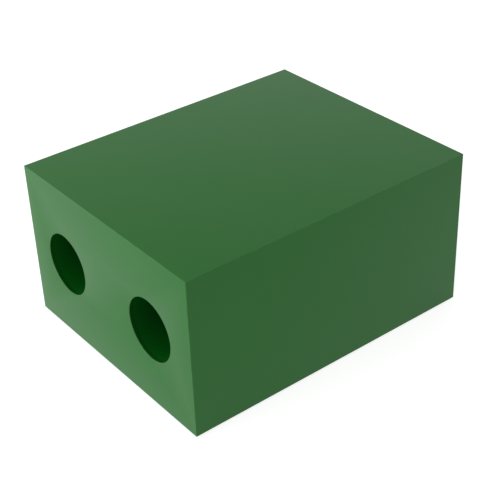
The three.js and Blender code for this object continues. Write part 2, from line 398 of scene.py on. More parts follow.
class Wiring:
    """Adds nodes to a node tree and joins them up."""

    def __init__(self, tree: bpy.types.NodeTree) -> None:
        """Takes the tree to work on."""
        self.tree = tree

    def feed(self, node: bpy.types.Node, inputs: dict[str | int, Value]) -> None:
        """Fills a node's sockets.

        Args:
            node: The node.
            inputs: What goes into each socket: another node's output, or a plain value.
        """
        for name, value in inputs.items():
            if isinstance(value, bpy.types.NodeSocket):
                self.tree.links.new(value, node.inputs[name])
            else:
                node.inputs[name].default_value = value

    def node(self, kind: str, inputs: dict[str | int, Value] | None = None,
             **settings: object) -> bpy.types.Node:
        """Adds a node.

        Args:
            kind: The node's type, without its ShaderNode prefix.
            inputs: What goes into its sockets, as feed takes it.
            settings: The node's own properties.

        Returns:
            The node.
        """
        made = self.tree.nodes.new(f"ShaderNode{kind}")
        for name, setting in settings.items():
            setattr(made, name, setting)
        self.feed(made, inputs or {})
        return made

    def math(self, operation: str, *values: Value, clamp: bool = False) -> bpy.types.NodeSocket:
        """Adds a Math node and gives its result."""
        made = self.node("Math", dict(enumerate(values)), operation=operation, use_clamp=clamp)
        return made.outputs[0]

    def vector(self, operation: str, *values: Value) -> bpy.types.NodeSocket:
        """Adds a Vector Math node and gives its vector."""
        return self.node("VectorMath", dict(enumerate(values)), operation=operation).outputs[0]

    def remap(self, value: Value, low: float, high: float, to_low: Value,
              to_high: Value) -> bpy.types.NodeSocket:
        """Maps one range to another on a smooth step.

        Args:
            value: What is mapped.
            low: The start of its range.
            high: The end of its range.
            to_low: What the start becomes.
            to_high: What the end becomes.

        Returns:
            The result.
        """
        inputs = {"Value": value, "From Min": low, "From Max": high,
                  "To Min": to_low, "To Max": to_high}
        return self.node("MapRange", inputs, interpolation_type="SMOOTHSTEP").outputs["Result"]

    def noise(self, place: Value, scale: Value, detail: float) -> bpy.types.NodeSocket:
        """Adds a noise texture and gives its value."""
        return self.node("TexNoise", {"Vector": place, "Scale": scale, "Detail": detail}).outputs[0]

    def mixed(self, share: Value, first: Value, second: Value) -> bpy.types.NodeSocket:
        """Mixes two colours by a share, from the first at 0 to the second at 1."""
        made = self.node("Mix", {0: share, 6: first, 7: second}, data_type="RGBA")
        return made.outputs[2]

    def bump(self, height: Value, depth: float) -> bpy.types.NodeSocket:
        """Turns a height from 0 to 1 into a normal, for relief of a given depth."""
        return self.node("Bump", {"Height": height, "Distance": depth}).outputs["Normal"]


def blank_material(name: str) -> tuple[bpy.types.Material, Wiring, bpy.types.Node]:
    """Makes a material that has nothing but its usual shader.

    Args:
        name: The new material's name.

    Returns:
        The material, its wiring, and its Principled shader node.
    """
    material = bpy.data.materials.new(name)
    material.use_nodes = True
    return material, Wiring(material.node_tree), material.node_tree.nodes["Principled BSDF"]


class Effect(Enum):
    """An effect on a surface, for any finish."""

    MOTTLE = "mottle"
    GRAIN = "grain"
    EDGE_WEAR = "edge_wear"
    BORE_SHADE = "bored"
    # Painted shade: darkens the walls inside the bores.
    SCRATCHES = "scratches"


class EffectLibrary:
    """The effects as node groups, each built once. Each puts out one mask or height."""

    def __init__(self, sizes: BlockSizes) -> None:
        """Builds every group.

        Args:
            sizes: The sizes of the block that they are for.
        """
        self.sizes = sizes
        self.groups = {
            Effect.MOTTLE: self._mottle(),
            Effect.GRAIN: self._grain(),
            Effect.EDGE_WEAR: self._edge_wear(),
            Effect.BORE_SHADE: self._bore_shade_mask(),
            Effect.SCRATCHES: self._scratches(),
        }

    def place(self, wiring: Wiring, effect: Effect,
              inputs: dict[str, Value] | None = None) -> bpy.types.NodeSocket:
        """Puts an effect into a material.

        Args:
            wiring: The material's node tree.
            effect: Which effect.
            inputs: The values that this material gives it, where they aren't the usual ones.

        Returns:
            The effect's output.
        """
        return wiring.node("Group", inputs, node_tree=self.groups[effect]).outputs[0]

    @staticmethod
    def _start(effect: Effect, inputs: dict[str, float | Sequence[float]],
               output: str) -> tuple[Wiring, bpy.types.NodeOutputs, Value, bpy.types.Node]:
        """Makes an empty group with its sockets.

        Args:
            effect: Which effect it is for.
            inputs: Each input's name and usual value.
            output: The output's name.

        Returns:
            The group's wiring, its inputs, the place being shaded, and its output node.
        """
        tree = bpy.data.node_groups.new(effect.value, "ShaderNodeTree")
        for name, usual in inputs.items():
            kind = "NodeSocketFloat" if isinstance(usual, float) else "NodeSocketVector"
            socket = tree.interface.new_socket(name=name, in_out="INPUT", socket_type=kind)
            socket.default_value = usual
        tree.interface.new_socket(name=output, in_out="OUTPUT", socket_type="NodeSocketFloat")
        wiring = Wiring(tree)
        given = tree.nodes.new("NodeGroupInput").outputs
        place = wiring.node("TexCoord").outputs["Object"]
        return wiring, given, place, tree.nodes.new("NodeGroupOutput")

    def _mottle(self) -> bpy.types.NodeTree:
        """Cloudy variation: a broad noise and a finer one at half its weight.

        Returns:
            A group whose Cloud runs from about -1 to 1 round nought.
        """
        finer, weight, gain = 5.3, 0.5, 2.6
        middle = (1 + weight) / 2
        wiring, given, place, out = self._start(Effect.MOTTLE, {"Scale": 7.0}, "Cloud")
        broad = wiring.noise(place, given["Scale"], 3.0)
        fine = wiring.noise(place, wiring.math("MULTIPLY", given["Scale"], finer), 2.0)
        both = wiring.math("MULTIPLY_ADD", fine, weight, broad)
        cloud = wiring.math("MULTIPLY", wiring.math("SUBTRACT", both, middle), gain)
        wiring.feed(out, {"Cloud": cloud})
        return wiring.tree

    def _grain(self) -> bpy.types.NodeTree:
        """Fine surface relief: one noise, with a second at a third of its size for tooth.

        Returns:
            A group whose Height runs from 0 to 1.
        """
        finer, share = 3.1, 0.3
        inputs = {"Scale": 900.0, "Stretch": (1.0, 1.0, 1.0)}
        wiring, given, place, out = self._start(Effect.GRAIN, inputs, "Height")
        place = wiring.vector("MULTIPLY", place, given["Stretch"])
        coarse = wiring.noise(place, given["Scale"], 1.0)
        tooth = wiring.noise(place, wiring.math("MULTIPLY", given["Scale"], finer), 0.0)
        body = wiring.math("MULTIPLY", coarse, 1 - share)
        wiring.feed(out, {"Height": wiring.math("MULTIPLY_ADD", tooth, share, body)})
        return wiring.tree

    def _edge_wear(self) -> bpy.types.NodeTree:
        """How near a point of the block is to one of its edges.

        Each of the three distances from the block's planes is nought on its own faces, so on a
        face the middle one of the three is the distance to the nearest edge. Half is half the
        block's size, and Middle its centre. A noise makes the worn width uneven.

        Returns:
            A group whose Wear is 1 on an edge and 0 beyond its Reach.
        """
        s = self.sizes
        middle = (s.top + s.wall_foot) / 2
        inputs = {"Middle": (0.0, 0.0, middle),
                  "Half": (s.width / 2, s.length / 2, s.top - middle),
                  "Reach": 2.0 * MM}
        wiring, given, place, out = self._start(Effect.EDGE_WEAR, inputs, "Wear")
        away = wiring.vector("ABSOLUTE", wiring.vector("SUBTRACT", place, given["Middle"]))
        inside = wiring.vector("SUBTRACT", given["Half"], away)
        x, y, z = wiring.node("SeparateXYZ", {0: inside}).outputs
        low, high = wiring.math("MINIMUM", x, y), wiring.math("MAXIMUM", x, y)
        distance = wiring.math("MAXIMUM", low, wiring.math("MINIMUM", high, z))
        narrowest, widest = 0.35, 1.5
        patchy = wiring.remap(wiring.noise(place, 55.0, 3.0), 0.35, 0.65, narrowest, widest)
        share = wiring.math("DIVIDE", distance, wiring.math("MULTIPLY", given["Reach"], patchy))
        wiring.feed(out, {"Wear": wiring.remap(share, 0.0, 1.0, 1.0, 0.0)})
        return wiring.tree

    def _bore_shade_mask(self) -> bpy.types.NodeTree:
        """Where the two bores' walls are, whose axes run along Y at an Offset on either side: the
        places that painted shade darkens.

        The distance from the nearer axis is the square root of the squares of |x| less the Offset
        and z less the Height.

        Returns:
            A group whose Wall is 1 within Radius of an axis and fades to 0 over the rounded mouth.
        """
        s = self.sizes
        inputs = {"Offset": s.bore_offset, "Height": s.bore_height, "Radius": s.bore_radius,
                  "Mouth": s.mouth}
        wiring, given, place, out = self._start(Effect.BORE_SHADE, inputs, "Wall")
        x, _, z = wiring.node("SeparateXYZ", {0: place}).outputs
        beside = wiring.math("SUBTRACT", wiring.math("ABSOLUTE", x), given["Offset"])
        above = wiring.math("SUBTRACT", z, given["Height"])
        squares = wiring.math("MULTIPLY_ADD", beside, beside, wiring.math("MULTIPLY", above, above))
        past = wiring.math("SUBTRACT", wiring.math("SQRT", squares), given["Radius"])
        share = wiring.math("DIVIDE", past, given["Mouth"])
        wiring.feed(out, {"Wall": wiring.remap(share, 0.1, 0.9, 1.0, 0.0)})
        return wiring.tree

    def _scratches(self) -> bpy.types.NodeTree:
        """Short fine strokes: noise drawn out along two directions, kept only at its crests.

        Returns:
            A group whose Stroke is 1 along the strokes, which Rarity thins out.
        """
        tilt, thinness = 0.3, 55.0
        inputs = {"Scale": 6.0, "Rarity": 0.7}
        wiring, given, place, out = self._start(Effect.SCRATCHES, inputs, "Stroke")
        strokes = []
        for turn in (0.5, -0.9):
            turned = wiring.node("Mapping", {"Vector": place, "Rotation": (turn, tilt, turn)})
            drawn = wiring.vector("MULTIPLY", turned.outputs[0], (1.0, thinness, thinness))
            crest = wiring.noise(drawn, given["Scale"], 1.0)
            strokes.append(wiring.math("GREATER_THAN", crest, given["Rarity"]))
        where = wiring.remap(wiring.noise(place, 18.0, 1.0), 0.5, 0.62, 0.0, 1.0)
        stroke = wiring.math("MULTIPLY", wiring.math("MAXIMUM", *strokes), where)
        wiring.feed(out, {"Stroke": stroke})
        return wiring.tree


# ---------------------------------------------------------------------------------------------
# Finishes
# ---------------------------------------------------------------------------------------------


@dataclass(frozen=True)
class PlasticFinish:
    """Polyethylene: satin, evenly coloured, with a fine grain and faintly burnished edges.

    Colours are linear, and lengths in metres. Cloud, wear, scratches and the bore darkening say how
    strongly each shows in the colour; the bore darkening is painted shade on the walls inside the
    bores. The dullings are what clouds and scratches add to the roughness, and scratch_depth is in
    heights of the grain.
    """

    name: str
    slot: str
    colour: Colour
    worn_colour: Colour
    roughness: float = 0.3
    refraction: float = 1.38
    shine: float = 0.5
    cloud: float = 0.035
    wear: float = 0.3
    painted_bore_shade: float = 0.0
    scratches: float = 0.12
    grain_scale: float = 900.0
    grain_stretch: tuple[float, float, float] = (1.0, 1.0, 1.0)
    grain_depth: float = 0.012 * MM
    cloud_dulling: float = 0.03
    scratch_dulling: float = 0.1
    scratch_depth: float = 0.6

    def material(self, effects: EffectLibrary) -> bpy.types.Material:
        """Makes the material.

        Args:
            effects: The shared effects.

        Returns:
            The material.
        """
        material, wiring, surface = blank_material(self.name)
        cloud = effects.place(wiring, Effect.MOTTLE)
        grain = effects.place(wiring, Effect.GRAIN,
                              {"Scale": self.grain_scale, "Stretch": self.grain_stretch})
        worn = effects.place(wiring, Effect.EDGE_WEAR)
        stroke = effects.place(wiring, Effect.SCRATCHES)
        # The bores' walls, where painted shade darkens the sheet.
        bored = effects.place(wiring, Effect.BORE_SHADE)

        shade = wiring.math("MULTIPLY_ADD", cloud, self.cloud, 1.0)
        # Painted shade: the walls inside the bores are darkened towards the pipe's darker green.
        shade = wiring.math("MULTIPLY_ADD", bored, -self.painted_bore_shade, shade)
        base = wiring.node("VectorMath", {0: self.colour, "Scale": shade}, operation="SCALE")
        rubbed = wiring.math("ADD", wiring.math("MULTIPLY", worn, self.wear),
                             wiring.math("MULTIPLY", stroke, self.scratches), clamp=True)
        dulled = wiring.math("MULTIPLY_ADD", cloud, self.cloud_dulling, self.roughness)
        relief = wiring.math("MULTIPLY_ADD", stroke, -self.scratch_depth, grain)
        wiring.feed(surface, {
            "Base Color": wiring.mixed(rubbed, base.outputs[0], (*self.worn_colour, 1.0)),
            "Roughness": wiring.math("MULTIPLY_ADD", stroke, self.scratch_dulling, dulled),
            "Normal": wiring.bump(relief, self.grain_depth),
            "IOR": self.refraction,
            "Specular IOR Level": self.shine,
        })
        return material


@dataclass(frozen=True)
class RubberFinish:
    """Black moulded rubber: dull, dusty in patches, with a fine pebble."""

    name: str = "moulded_rubber"
    slot: str = "foot_rubber"
    colour: Colour = (0.012, 0.012, 0.012)
    dust_colour: Colour = (0.06, 0.055, 0.048)
    most_dust: float = 0.6
    dust_scale: float = 40.0
    roughness: float = 0.72
    dust_dulling: float = 0.15
    pebble_scale: float = 1600.0
    pebble_depth: float = 0.05 * MM

    def material(self, effects: EffectLibrary) -> bpy.types.Material:
        """Makes the material.

        Args:
            effects: The shared effects.

        Returns:
            The material.
        """
        material, wiring, surface = blank_material(self.name)
        cloud = effects.place(wiring, Effect.MOTTLE, {"Scale": self.dust_scale})
        grain = effects.place(wiring, Effect.GRAIN, {"Scale": self.pebble_scale})
        dust = wiring.remap(cloud, -0.1, 0.8, 0.0, self.most_dust)
        wiring.feed(surface, {
            "Base Color": wiring.mixed(dust, (*self.colour, 1.0), (*self.dust_colour, 1.0)),
            "Roughness": wiring.math("MULTIPLY_ADD", dust, self.dust_dulling, self.roughness),
            "Normal": wiring.bump(grain, self.pebble_depth),
        })
        return material


@dataclass(frozen=True)
class SteelFinish:
    """Zinc-plated steel: bright, slightly blue-grey, with fine tool marks and dull patches."""

    name: str = "zinc_plated_steel"
    slot: str = "screw_steel"
    bright: Colour = (0.58, 0.6, 0.62)
    dull: Colour = (0.47, 0.48, 0.49)
    roughness: float = 0.24
    patch_scale: float = 260.0
    patch_dulling: float = 0.22
    scratch_scale: float = 30.0
    scratch_rarity: float = 0.66
    scratch_depth: float = 0.5
    mark_scale: float = 2500.0
    mark_stretch: tuple[float, float, float] = (1.0, 1.0, 0.2)
    mark_depth: float = 0.01 * MM

    def material(self, effects: EffectLibrary) -> bpy.types.Material:
        """Makes the material.

        Args:
            effects: The shared effects.

        Returns:
            The material.
        """
        material, wiring, surface = blank_material(self.name)
        cloud = effects.place(wiring, Effect.MOTTLE, {"Scale": self.patch_scale})
        grain = effects.place(wiring, Effect.GRAIN,
                              {"Scale": self.mark_scale, "Stretch": self.mark_stretch})
        stroke = effects.place(wiring, Effect.SCRATCHES,
                               {"Scale": self.scratch_scale, "Rarity": self.scratch_rarity})
        patch = wiring.remap(cloud, -0.2, 0.7, 0.0, 1.0)
        relief = wiring.math("MULTIPLY_ADD", stroke, -self.scratch_depth, grain)
        wiring.feed(surface, {
            "Base Color": wiring.mixed(patch, (*self.bright, 1.0), (*self.dull, 1.0)),
            "Roughness": wiring.math("MULTIPLY_ADD", patch, self.patch_dulling, self.roughness),
            "Normal": wiring.bump(relief, self.mark_depth),
            "Metallic": 1.0,
        })
        return material


Finish = PlasticFinish | RubberFinish | SteelFinish

# The sheet is darkened by half on the walls inside the bores: painted shade.
GREEN_SHEET = PlasticFinish(
    "green_sheet_satin", "green_sheet", colour=(0.0025, 0.108, 0.005),
    worn_colour=(0.03, 0.16, 0.035), painted_bore_shade=0.5)
GREEN_PIPE = PlasticFinish(
    "green_pipe_extruded", "green_pipe", colour=(0.001, 0.065, 0.004),
    worn_colour=(0.03, 0.15, 0.04), roughness=0.8, refraction=1.3, shine=0.05, wear=0.0,
    scratches=0.08, grain_scale=1400.0, grain_stretch=(1.0, 0.012, 1.0),
    grain_depth=0.02 * MM)
BLACK_SHEET = PlasticFinish(
    "black_sheet_sawn", "black_sheet", colour=(0.014, 0.016, 0.015),
    worn_colour=(0.05, 0.055, 0.05), roughness=0.5, refraction=1.5, cloud=0.2, wear=0.0,
    scratches=0.4, grain_scale=500.0, grain_depth=0.06 * MM)
RUBBER = RubberFinish()
STEEL = SteelFinish()


class Workshop:
    """Dresses pieces, and makes each finish's material the first time that it is asked for."""

    def __init__(self, sizes: BlockSizes) -> None:
        """Builds the shared effects for a block of these sizes."""
        self.effects = EffectLibrary(sizes)
        self.materials: dict[str, bpy.types.Material] = {}

    def material(self, finish: Finish) -> bpy.types.Material:
        """Gives the material of a finish.

        Args:
            finish: The finish.

        Returns:
            Its one material.
        """
        if finish.name not in self.materials:
            self.materials[finish.name] = finish.material(self.effects)
        return self.materials[finish.name]

    def fit(self, piece: bpy.types.Object, node: str, finish: Finish) -> None:
        """Puts a new piece in a CAD node's place, in its finish.

        Args:
            piece: The new piece.
            node: The CAD node that it stands for.
            finish: Its finish.
        """
        piece.data.materials.append(self.material(finish))
        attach(piece, BODY)
        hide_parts(node)
        LOG.info("%s stands for %s: %d faces", piece.name, node, len(piece.data.polygons))

    def coat(self, nodes: Iterable[str], finish: Finish) -> None:
        """Gives CAD nodes that keep their shape a better material.

        Args:
            nodes: The nodes' names.
            finish: Their finish.
        """
        for name in nodes:
            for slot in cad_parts[name].material_slots:
                slot.material = self.material(finish)
            LOG.info("%s keeps its shape", name)


# ---------------------------------------------------------------------------------------------
# The block
# ---------------------------------------------------------------------------------------------


@dataclass(frozen=True)
class Stand:
    """Where a sheet stands: the middle of its inner face's foot, and the ways across, up and out."""

    origin: tuple[float, float, float]
    across: tuple[float, float, float]
    up: tuple[float, float, float]
    out: tuple[float, float, float]

    def place(self, local: Array) -> Array:
        """Takes points from across, up and out to the block's own frame."""
        return local @ np.array([self.across, self.up, self.out]) + np.array(self.origin)


@dataclass
class MitredSheets:
    """The tread and the four walls, which meet at 45 degree mitres along the block's edges."""

    sizes: BlockSizes
    arris: float = 0.6 * MM
    arris_steps: int = 6
    bore_segments: int = 192

    def build(self, workshop: Workshop) -> None:
        """Builds and dresses all five.

        Args:
            workshop: What dresses them.
        """
        s = self.sizes
        half_width, half_length = s.width / 2, s.length / 2
        x, y, z = (1, 0, 0), (0, 1, 0), (0, 0, 1)
        back_x, back_y = (-1, 0, 0), (0, -1, 0)
        tread = Stand((0, 0, s.top - s.sheet), x, y, z)
        walls = {
            "front_end_panel": Stand((0, s.sheet - half_length, 0), x, z, back_y),
            "rear_end_panel": Stand((0, half_length - s.sheet, 0), back_x, z, y),
            "right_side_panel": Stand((half_width - s.sheet, 0, 0), y, z, x),
            "left_side_panel": Stand((s.sheet - half_width, 0, 0), back_y, z, back_x),
        }
        sheet = self.sheet(tread, half_width, -half_length, half_length, mitred_foot=True)
        workshop.fit(sheet.build("tread"), "top_panel", GREEN_SHEET)
        for node, stand in walls.items():
            is_end = node.endswith("end_panel")
            half = half_width if is_end else half_length
            sheet = self.sheet(stand, half, s.wall_foot, s.top, mitred_foot=False, bored=is_end)
            workshop.fit(sheet.build(node.replace("panel", "wall")), node, GREEN_SHEET)

    def sheet(self, stand: Stand, half: float, low: float, high: float, mitred_foot: bool,
              bored: bool = False) -> Shell:
        """Makes one sheet: a rounded outer face, its mitred or square edges, and its inner face.

        Args:
            stand: Where it stands.
            half: Half its outer size across.
            low: Its foot.
            high: Its top.
            mitred_foot: Whether its foot is mitred as its other edges are, or square.
            bored: Whether it has the two bores.

        Returns:
            The sheet's surface.
        """
        steps, thick = self.arris_steps, self.sizes.sheet
        mitre = math.radians(45)
        foot_turn = mitre if mitred_foot else math.radians(90)
        across = EdgeRows.between(-half, half, self.arris, mitre, mitre, steps)
        up = EdgeRows.between(low, high, self.arris, foot_turn, mitre, steps)
        outer = rounded_face(across, up, thick, self.arris)
        curved, flat = split_face(outer, steps)
        shell = Shell()
        shell.grid(stand.place(outer), curved, keep=curved if bored else None)

        inner_low = low + thick if mitred_foot else low
        inner = np.array([[thick - half, inner_low], [half - thick, inner_low],
                          [half - thick, high - thick], [thick - half, high - thick]])
        inner = np.column_stack([inner, np.zeros(4)])
        borders = (outer[0], outer[:, -1], outer[-1, ::-1], outer[::-1, 0])
        for index, border in enumerate(borders):
            edge = np.repeat(inner[[index, (index + 1) % 4]], steps + 1, axis=0)
            shell.grid(stand.place(np.stack([border, edge])), smooth=False)
        if bored:
            self._bore(shell, stand, flat, inner)
        else:
            shell.add(stand.place(inner), np.array([[0, 1, 2, 3]]), smooth=False)
        return shell

    def _bore(self, shell: Shell, stand: Stand, outer: Array, inner: Array) -> None:
        """Fills both faces of an end wall round its bores, and adds the bores' own walls.

        From the outer face, a bore is a rounded mouth, the bore's wall, a flat step outwards, and
        the recess that the pipe's end sits in.

        Args:
            shell: The wall's surface so far.
            stand: Where the wall stands.
            outer: The corners of the outer face's flat.
            inner: The corners of the inner face.
        """
        s = self.sizes
        recess = s.pipe_radius + s.clearance
        lip = s.bore_radius + s.mouth
        turn = np.linspace(0, math.pi / 2, self.arris_steps + 1)
        mouth = np.column_stack([lip - s.mouth * np.sin(turn),
                                 s.sheet - s.mouth + s.mouth * np.cos(turn)])
        wall = np.array([[s.bore_radius, s.sheet - s.mouth], [s.bore_radius, s.register]])
        step = np.array([[s.bore_radius, s.register], [recess, s.register]])
        socket = np.array([[recess, s.register], [recess, 0]])
        middles = [(side * s.bore_offset, s.bore_height, 0) for side in (-1, 1)]
        for middle in middles:
            for run, smooth in ((mouth, True), (wall, True), (step, False), (socket, True)):
                grid = turned_grid(run[:, 0], run[:, 1], middle, Axis.UP_Z, self.bore_segments)
                shell.grid(stand.place(grid), smooth, wrap=True)
        for corners, radius, level in ((outer, lip, s.sheet), (inner, recess, 0.0)):
            rings = [turned_grid(np.array([radius]), np.zeros(1), middle, Axis.UP_Z,
                                 self.bore_segments)[0] for middle in middles]
            flat, triangles = pierced_flat(corners, rings, level)
            shell.add(stand.place(flat), triangles, smooth=False)


@dataclass
class TunnelLinings:
    """The two lengths of pipe that line the tunnels, each from one end wall's recess to the other."""

    sizes: BlockSizes
    end_rounding: float = 0.4 * MM
    butt: float = 0.05 * MM
    segments: int = 192

    def build(self, workshop: Workshop) -> None:
        """Builds and dresses both: a rectangular section with rounded corners, turned about Y.

        Args:
            workshop: What dresses them.
        """
        s = self.sizes
        half = s.length / 2 - s.sheet + s.register - self.butt
        section = rounded_profile([
            (s.bore_radius, -half, self.end_rounding), (s.pipe_radius, -half, self.end_rounding),
            (s.pipe_radius, half, self.end_rounding), (s.bore_radius, half, self.end_rounding),
        ], closed=True)
        for name, side in (("left", -1), ("right", 1)):
            middle = (side * s.bore_offset, 0, s.bore_height)
            grid = turned_grid(section[:, 0], section[:, 1], middle, Axis.ALONG_Y, self.segments)
            lining = wrapped_piece(f"tunnel_lining_{name}", grid)
            workshop.fit(lining, f"tunnel_tube_{name}", GREEN_PIPE)


@dataclass(frozen=True)
class Round:
    """The box of a CAD node that is round about an upright axis."""

    low: Vector
    high: Vector

    @classmethod
    def of(cls, node: str) -> "Round":
        """Reads a node's box."""
        return cls(*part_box(node))

    @property
    def radius(self) -> float:
        """Gives half its width."""
        return (self.high.x - self.low.x) / 2

    @property
    def foot(self) -> tuple[float, float, float]:
        """Gives the middle of its underside."""
        return (self.low.x + self.high.x) / 2, (self.low.y + self.high.y) / 2, self.low.z

    @property
    def axis(self) -> tuple[float, float, float]:
        """Gives the place where its axis meets the ground."""
        return (*self.foot[:2], 0.0)


@dataclass(frozen=True)
class Sinking:
    """A hole up through the base plate, as a profile from its lower face to its upper."""

    middle: tuple[float, float, float]
    profile: Array
    segments: int

    def rings(self) -> Array:
        """Carries the profile round the hole's axis, as rows by segments by 3."""
        radii, heights = self.profile.T
        return turned_grid(radii, heights, self.middle, Axis.UP_Z, self.segments)


@dataclass
class BasePlate:
    """The base panel, with its sinkings for the feet and the screws."""

    sizes: BlockSizes
    arris: float = 0.5 * MM
    arris_steps: int = 4
    full_turn: float = math.radians(89.9)
    foot_segments: int = 96
    screw_segments: int = 48

    def build(self, workshop: Workshop) -> None:
        """Builds and dresses it: a lower face with rounded edges, square sides and a flat top.

        Args:
            workshop: What dresses it.
        """
        low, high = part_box("base_panel")
        steps = self.arris_steps
        across = EdgeRows.between(low.x, high.x, self.arris, self.full_turn, self.full_turn, steps)
        along = EdgeRows.between(low.y, high.y, self.arris, self.full_turn, self.full_turn, steps)
        face = rounded_face(across, along, high.z - low.z, self.arris)
        face[..., 2] = high.z - face[..., 2]
        curved, flat = split_face(face, steps)
        shell = Shell()
        shell.grid(face, keep=curved)
        rim = np.concatenate([face[0], face[1:, -1], face[-1, -2::-1], face[-2:0:-1, 0]])
        upper = rim * (1, 1, 0) + (0, 0, high.z)
        shell.grid(np.stack([rim, upper]), smooth=False, wrap=True)

        sides = np.abs(np.diff(rim[:, :2], axis=0, append=rim[:1, :2])).sum(axis=1)
        outline = rim[sides > SAME_PLACE]
        sinkings = self._sinkings(low.z, high.z)
        for sinking in sinkings:
            shell.grid(sinking.rings(), wrap=True)
        for border, row, level in ((flat, 0, low.z), (outline, -1, high.z)):
            holes = [sinking.rings()[row] for sinking in sinkings]
            shell.add(*pierced_flat(border, holes, level), smooth=False)
        workshop.fit(shell.build("base_plate"), "base_panel", GREEN_SHEET)

    def _sinkings(self, low: float, high: float) -> list[Sinking]:
        """Lays out a round recess and a screw hole for each foot, and the countersunk holes.

        Args:
            low: The plate's lower face.
            high: The plate's upper face.

        Returns:
            The sinkings.
        """
        gap = self.sizes.clearance
        hole = SCREW_RADIUS + gap
        made = []
        for corner in CORNERS:
            foot = Round.of(f"foot_{corner}")
            recess, roof = foot.radius + gap, foot.high.z
            profile = np.array([[recess, low], [recess, roof], [hole, roof], [hole, high]])
            made.append(Sinking(foot.axis, profile, self.foot_segments))
        for name in BASE_SCREWS:
            screw = Round.of(name)
            mouth = screw.radius + gap
            profile = np.array([[mouth, low], [hole, low + mouth - hole], [hole, high]])
            made.append(Sinking(screw.axis, profile, self.screw_segments))
        return made


class Head(Enum):
    """A screw's head, as its profile's radii and heights from its face to its shank, in mm."""

    SUNK = ((4.75, 0.0), (4.95, 0.06), (5.0, 0.25), (2.5, 2.5))
    PAN = ((3.7, 0.0), (4.3, 0.12), (4.65, 0.5), (4.75, 1.0), (4.75, 2.7), (4.6, 2.8), (2.5, 2.8))


@dataclass(frozen=True)
class Screw:
    """A coarse-threaded screw that points up, with a six-sided socket in its head."""

    head: Head
    foot: tuple[float, float, float]
    length: float
    crest: float = SCREW_RADIUS
    root: float = 1.8 * MM
    pitch: float = 2.2 * MM
    tip: float = 5.0 * MM
    groove: float = 0.4
    socket_radius: float = 1.9 * MM
    socket_depth: float = 1.8 * MM
    socket_chamfer: float = 0.15 * MM
    drill_share: float = 0.6
    segments: int = 36
    rows_per_turn: int = 8

    @classmethod
    def like(cls, node: str, head: Head) -> "Screw":
        """Sizes and places a screw as a CAD node is."""
        box = Round.of(node)
        return cls(head, box.foot, box.high.z - box.low.z)

    def build(self, name: str) -> bpy.types.Object:
        """Builds the screw as rings about its axis, from the bottom of the socket to the tip.

        Args:
            name: The name of the new object.

        Returns:
            The object.
        """
        head = np.array(self.head.value) * MM
        socket_radii, socket_heights = self._socket()
        thread_radii, thread_heights = self._thread(head[-1, 1])
        head_radii = np.repeat(head[:, :1], self.segments, axis=1)
        radii = np.concatenate([socket_radii, head_radii, thread_radii])
        heights = np.concatenate([socket_heights, head[:, 1], thread_heights])
        grid = turned_grid(radii, heights, self.foot, Axis.UP_Z, self.segments)
        return wrapped_piece(name, grid)

    def _socket(self) -> tuple[Array, Array]:
        """Works out the socket's rings: a drilled cone, six flat sides, and a chamfer at the face.

        A six-sided ring's radius is its flats' distance over the cosine of the angle from the
        middle of the nearest flat.

        Returns:
            Radii by row and angle, and one height for each row.
        """
        angles = ring_angles(self.segments)
        sixth = math.pi / 3
        from_flat = (angles + sixth / 2) % sixth - sixth / 2
        hexagon = self.socket_radius * math.cos(sixth / 2) / np.cos(from_flat)
        depth, chamfer = self.socket_depth, self.socket_chamfer
        rings = np.stack([np.zeros_like(hexagon), self.drill_share * hexagon, hexagon, hexagon,
                          np.full_like(hexagon, self.socket_radius + chamfer)])
        return rings, np.array([depth + 2 * chamfer, depth + chamfer, depth, chamfer, 0.0])

    def _thread(self, start: float) -> tuple[Array, Array]:
        """Works out the shank's rings, with a helical thread on them.

        The thread's height is a triangular wave of the height less the pitch times the share of a
        turn, cut off below to leave a flat groove. It grows from nothing over the first turn, and
        both root and crest fall in a straight line to the point over the tip.

        Args:
            start: Where the shank leaves the head.

        Returns:
            Radii by row and angle, and one height for each row.
        """
        count = round((self.length - start) / self.pitch * self.rows_per_turn)
        heights = np.linspace(start, self.length, count + 1)[1:]
        turns = ring_angles(self.segments) / (2 * math.pi)
        phase = (heights[:, None] / self.pitch - turns[None, :]) % 1
        triangle = 1 - np.abs(2 * phase - 1)
        wave = np.clip((1 + self.groove) * triangle - self.groove, 0, 1)
        grown = np.clip((heights - start) / self.pitch, 0, 1)[:, None]
        taper = np.clip((self.length - heights) / self.tip, 0, 1)[:, None]
        plain = self.crest + (self.root - self.crest) * grown
        radii = (plain + (self.crest - self.root) * wave * grown) * taper
        return radii, heights


@dataclass
class BaseScrews:
    """The countersunk screws that hold the base panel."""

    names: tuple[str, ...] = BASE_SCREWS

    def build(self, workshop: Workshop) -> None:
        """Builds and dresses each where its CAD node is.

        Args:
            workshop: What dresses them.
        """
        for name in self.names:
            screw = Screw.like(name, Head.SUNK).build(f"countersunk_{name}")
            workshop.fit(screw, name, STEEL)


